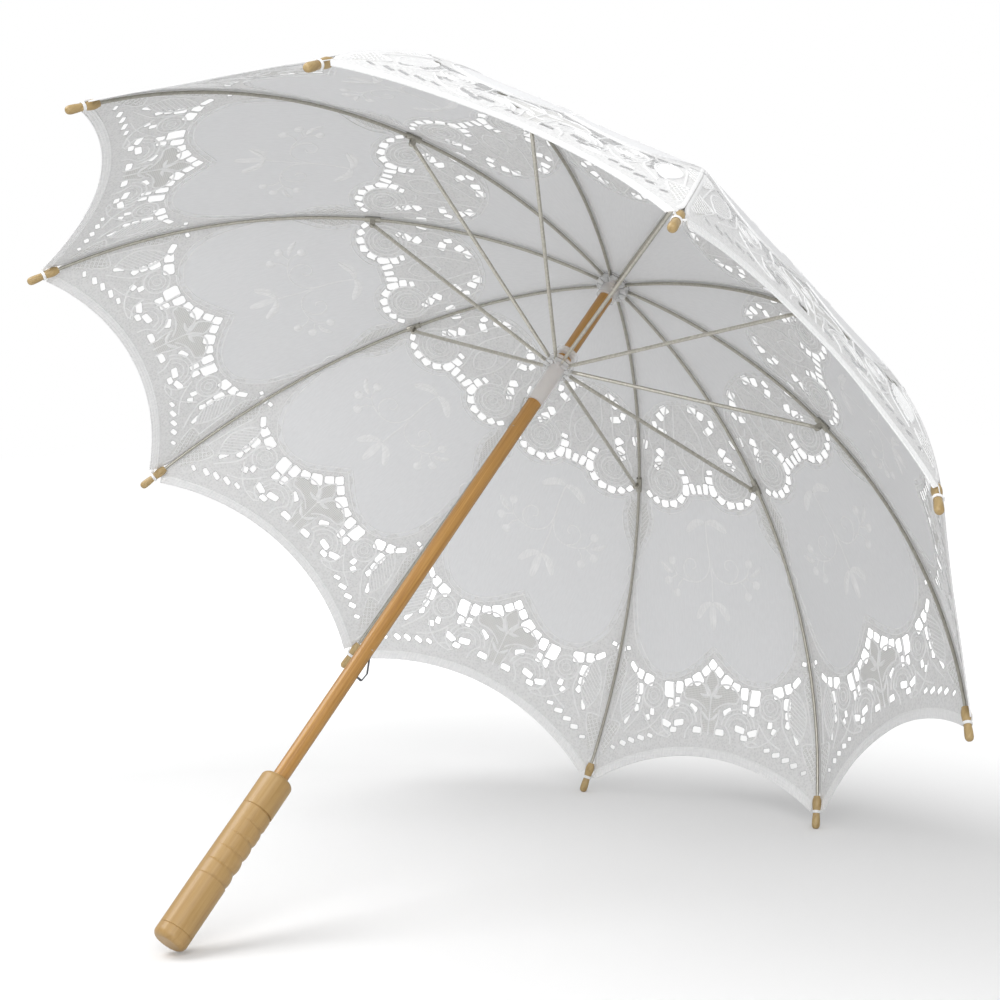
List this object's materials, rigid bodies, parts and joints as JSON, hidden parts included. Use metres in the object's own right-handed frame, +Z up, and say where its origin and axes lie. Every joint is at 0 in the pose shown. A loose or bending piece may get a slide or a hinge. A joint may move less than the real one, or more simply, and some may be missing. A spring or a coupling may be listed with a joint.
{
  "type": "lace parasol",
  "caption": "Open lace parasol: scalloped cotton canopy on curved wire ribs, wooden shaft, turned handle, sliding runner with stretchers.",
  "frame": {"origin": "centre of the handle's lower end", "axes": "+Z up the shaft to the ferrule; +X along rib 1, the other ribs follow counter-clockwise seen from above"},
  "size_m": [0.7638, 0.7268, 0.6522],
  "materials": {
    "shaft": "varnished",
    "handle": "varnished",
    "ferrule": "varnished",
    "tip": "varnished",
    "cap": "nickel-plated",
    "clear_plastic": "clear",
    "nickel_wire": "nickel-plated",
    "spring_steel": "blackened",
    "pin": "plain",
    "cotton": "cotton lace and lawn"
  },
  "bodies": {
    "shaft_group": {"shaft": "shaft", "handle": "handle", "ferrule": "ferrule", "crown_cap": "cap", "crown_notch": "clear_plastic", "notch_wire": "nickel_wire", "notch_pin": "pin", "stop_ring": "clear_plastic", "catch_pins": "pin"},
    "runner_group": {"runner": "clear_plastic", "runner_wire": "nickel_wire"},
    "top_catch_spring": {"top_catch": "nickel_wire"},
    "bottom_catch_spring": {"bottom_catch": "spring_steel"},
    "rib_group_01": {"rib_01": "nickel_wire", "rib_tip_01": "tip", "canopy_gore_01": "cotton"},
    "stretcher_group_01": {"stretcher_01": "nickel_wire"},
    "rib_group_02": {"rib_02": "nickel_wire", "rib_tip_02": "tip", "canopy_gore_02": "cotton"},
    "stretcher_group_02": {"stretcher_02": "nickel_wire"},
    "rib_group_03": {"rib_03": "nickel_wire", "rib_tip_03": "tip", "canopy_gore_03": "cotton"},
    "stretcher_group_03": {"stretcher_03": "nickel_wire"},
    "rib_group_04": {"rib_04": "nickel_wire", "rib_tip_04": "tip", "canopy_gore_04": "cotton"},
    "stretcher_group_04": {"stretcher_04": "nickel_wire"},
    "rib_group_05": {"rib_05": "nickel_wire", "rib_tip_05": "tip", "canopy_gore_05": "cotton"},
    "stretcher_group_05": {"stretcher_05": "nickel_wire"},
    "rib_group_06": {"rib_06": "nickel_wire", "rib_tip_06": "tip", "canopy_gore_06": "cotton"},
    "stretcher_group_06": {"stretcher_06": "nickel_wire"},
    "rib_group_07": {"rib_07": "nickel_wire", "rib_tip_07": "tip", "canopy_gore_07": "cotton"},
    "stretcher_group_07": {"stretcher_07": "nickel_wire"},
    "rib_group_08": {"rib_08": "nickel_wire", "rib_tip_08": "tip", "canopy_gore_08": "cotton"},
    "stretcher_group_08": {"stretcher_08": "nickel_wire"},
    "rib_group_09": {"rib_09": "nickel_wire", "rib_tip_09": "tip", "canopy_gore_09": "cotton"},
    "stretcher_group_09": {"stretcher_09": "nickel_wire"},
    "rib_group_10": {"rib_10": "nickel_wire", "rib_tip_10": "tip", "canopy_gore_10": "cotton"},
    "stretcher_group_10": {"stretcher_10": "nickel_wire"}
  },
  "joints": [
    {"name": "runner_slide", "type": "slide", "parent": "shaft_group", "child": "runner_group", "axis": [0, 0, -1], "range_m": [0, 0.26111]},
    {"name": "top_catch_press", "type": "hinge", "parent": "shaft_group", "child": "top_catch_spring", "pos_m": [0.00188, -0.00259, 0.4457], "axis": [-0.809, -0.5878, 0], "range_deg": [0, 6.5], "stiffness_Nm_per_rad": 0.5, "springref_deg": -2.86, "deforming": ["top_catch"]},
    {"name": "bottom_catch_press", "type": "hinge", "parent": "shaft_group", "child": "bottom_catch_spring", "pos_m": [-0.00188, 0.00259, 0.23819], "axis": [-0.809, -0.5878, 0], "range_deg": [0, 11.5], "stiffness_Nm_per_rad": 0.5, "springref_deg": -2.86, "deforming": ["bottom_catch"]},
    {"name": "rib_01_fold", "type": "hinge", "parent": "shaft_group", "child": "rib_group_01", "pos_m": [0.01, 0, 0.6], "axis": [0, 1, 0], "range_deg": [0, 58.76], "deforming": ["canopy_gore_01"]},
    {"name": "stretcher_01_fold", "type": "hinge", "parent": "rib_group_01", "child": "stretcher_group_01", "pos_m": [0.18807, 0, 0.55902], "axis": [0, -1, 0], "range_deg": [0, 115.69]},
    {"name": "rib_02_fold", "type": "hinge", "parent": "shaft_group", "child": "rib_group_02", "pos_m": [0.00809, 0.00588, 0.6], "axis": [-0.5878, 0.809, 0], "range_deg": [0, 58.76], "deforming": ["canopy_gore_02"]},
    {"name": "stretcher_02_fold", "type": "hinge", "parent": "rib_group_02", "child": "stretcher_group_02", "pos_m": [0.15215, 0.11054, 0.55902], "axis": [0.5878, -0.809, 0], "range_deg": [0, 115.69]},
    {"name": "rib_03_fold", "type": "hinge", "parent": "shaft_group", "child": "rib_group_03", "pos_m": [0.00309, 0.00951, 0.6], "axis": [-0.9511, 0.309, 0], "range_deg": [0, 58.76], "deforming": ["canopy_gore_03"]},
    {"name": "stretcher_03_fold", "type": "hinge", "parent": "rib_group_03", "child": "stretcher_group_03", "pos_m": [0.05812, 0.17886, 0.55902], "axis": [0.9511, -0.309, 0], "range_deg": [0, 115.69]},
    {"name": "rib_04_fold", "type": "hinge", "parent": "shaft_group", "child": "rib_group_04", "pos_m": [-0.00309, 0.00951, 0.6], "axis": [-0.9511, -0.309, 0], "range_deg": [0, 58.76], "deforming": ["canopy_gore_04"]},
    {"name": "stretcher_04_fold", "type": "hinge", "parent": "rib_group_04", "child": "stretcher_group_04", "pos_m": [-0.05812, 0.17886, 0.55902], "axis": [0.9511, 0.309, 0], "range_deg": [0, 115.69]},
    {"name": "rib_05_fold", "type": "hinge", "parent": "shaft_group", "child": "rib_group_05", "pos_m": [-0.00809, 0.00588, 0.6], "axis": [-0.5878, -0.809, 0], "range_deg": [0, 58.76], "deforming": ["canopy_gore_05"]},
    {"name": "stretcher_05_fold", "type": "hinge", "parent": "rib_group_05", "child": "stretcher_group_05", "pos_m": [-0.15215, 0.11054, 0.55902], "axis": [0.5878, 0.809, 0], "range_deg": [0, 115.69]},
    {"name": "rib_06_fold", "type": "hinge", "parent": "shaft_group", "child": "rib_group_06", "pos_m": [-0.01, 0, 0.6], "axis": [0, -1, 0], "range_deg": [0, 58.76], "deforming": ["canopy_gore_06"]},
    {"name": "stretcher_06_fold", "type": "hinge", "parent": "rib_group_06", "child": "stretcher_group_06", "pos_m": [-0.18807, 0, 0.55902], "axis": [0, 1, 0], "range_deg": [0, 115.69]},
    {"name": "rib_07_fold", "type": "hinge", "parent": "shaft_group", "child": "rib_group_07", "pos_m": [-0.00809, -0.00588, 0.6], "axis": [0.5878, -0.809, 0], "range_deg": [0, 58.76], "deforming": ["canopy_gore_07"]},
    {"name": "stretcher_07_fold", "type": "hinge", "parent": "rib_group_07", "child": "stretcher_group_07", "pos_m": [-0.15215, -0.11054, 0.55902], "axis": [-0.5878, 0.809, 0], "range_deg": [0, 115.69]},
    {"name": "rib_08_fold", "type": "hinge", "parent": "shaft_group", "child": "rib_group_08", "pos_m": [-0.00309, -0.00951, 0.6], "axis": [0.9511, -0.309, 0], "range_deg": [0, 58.76], "deforming": ["canopy_gore_08"]},
    {"name": "stretcher_08_fold", "type": "hinge", "parent": "rib_group_08", "child": "stretcher_group_08", "pos_m": [-0.05812, -0.17886, 0.55902], "axis": [-0.9511, 0.309, 0], "range_deg": [0, 115.69]},
    {"name": "rib_09_fold", "type": "hinge", "parent": "shaft_group", "child": "rib_group_09", "pos_m": [0.00309, -0.00951, 0.6], "axis": [0.9511, 0.309, 0], "range_deg": [0, 58.76], "deforming": ["canopy_gore_09"]},
    {"name": "stretcher_09_fold", "type": "hinge", "parent": "rib_group_09", "child": "stretcher_group_09", "pos_m": [0.05812, -0.17886, 0.55902], "axis": [-0.9511, -0.309, 0], "range_deg": [0, 115.69]},
    {"name": "rib_10_fold", "type": "hinge", "parent": "shaft_group", "child": "rib_group_10", "pos_m": [0.00809, -0.00588, 0.6], "axis": [0.5878, 0.809, 0], "range_deg": [0, 58.76], "deforming": ["canopy_gore_10"]},
    {"name": "stretcher_10_fold", "type": "hinge", "parent": "rib_group_10", "child": "stretcher_group_10", "pos_m": [0.15215, -0.11054, 0.55902], "axis": [-0.5878, -0.809, 0], "range_deg": [0, 115.69]}
  ],
  "couplings": [
    {"joint": "rib_01_fold", "follows": "runner_slide", "rad_per_m": 3.9241},
    {"joint": "stretcher_01_fold", "follows": "runner_slide", "rad_per_m": 7.726},
    {"joint": "rib_02_fold", "follows": "runner_slide", "rad_per_m": 3.9241},
    {"joint": "stretcher_02_fold", "follows": "runner_slide", "rad_per_m": 7.726},
    {"joint": "rib_03_fold", "follows": "runner_slide", "rad_per_m": 3.9241},
    {"joint": "stretcher_03_fold", "follows": "runner_slide", "rad_per_m": 7.726},
    {"joint": "rib_04_fold", "follows": "runner_slide", "rad_per_m": 3.9241},
    {"joint": "stretcher_04_fold", "follows": "runner_slide", "rad_per_m": 7.726},
    {"joint": "rib_05_fold", "follows": "runner_slide", "rad_per_m": 3.9241},
    {"joint": "stretcher_05_fold", "follows": "runner_slide", "rad_per_m": 7.726},
    {"joint": "rib_06_fold", "follows": "runner_slide", "rad_per_m": 3.9241},
    {"joint": "stretcher_06_fold", "follows": "runner_slide", "rad_per_m": 7.726},
    {"joint": "rib_07_fold", "follows": "runner_slide", "rad_per_m": 3.9241},
    {"joint": "stretcher_07_fold", "follows": "runner_slide", "rad_per_m": 7.726},
    {"joint": "rib_08_fold", "follows": "runner_slide", "rad_per_m": 3.9241},
    {"joint": "stretcher_08_fold", "follows": "runner_slide", "rad_per_m": 7.726},
    {"joint": "rib_09_fold", "follows": "runner_slide", "rad_per_m": 3.9241},
    {"joint": "stretcher_09_fold", "follows": "runner_slide", "rad_per_m": 7.726},
    {"joint": "rib_10_fold", "follows": "runner_slide", "rad_per_m": 3.9241},
    {"joint": "stretcher_10_fold", "follows": "runner_slide", "rad_per_m": 7.726}
  ]
}
